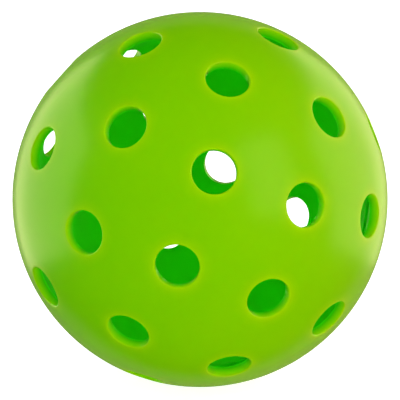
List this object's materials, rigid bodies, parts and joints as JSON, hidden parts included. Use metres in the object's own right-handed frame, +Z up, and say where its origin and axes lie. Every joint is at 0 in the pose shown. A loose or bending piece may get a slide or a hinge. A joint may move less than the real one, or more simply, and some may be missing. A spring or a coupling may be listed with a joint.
{
  "type": "pickleball ball",
  "caption": "Hollow perforated plastic ball of two welded half-shells with round air holes in rings, for outdoor pickleball.",
  "frame": {"origin": "centre of the ball", "axes": "+Y from the pole of the front half-shell to the pole of the rear one, square to the welded seam, which lies in the plane Y = 0; +Z up, in line with a hole of the front half's second ring"},
  "size_m": [0.074, 0.074, 0.074],
  "materials": {
    "shell_plastic": "satin",
    "weld_plastic": "satin"
  },
  "bodies": {
    "root": {"front_half_shell": "shell_plastic", "rear_half_shell": "shell_plastic", "seam_weld": "weld_plastic"}
  },
  "joints": []
}
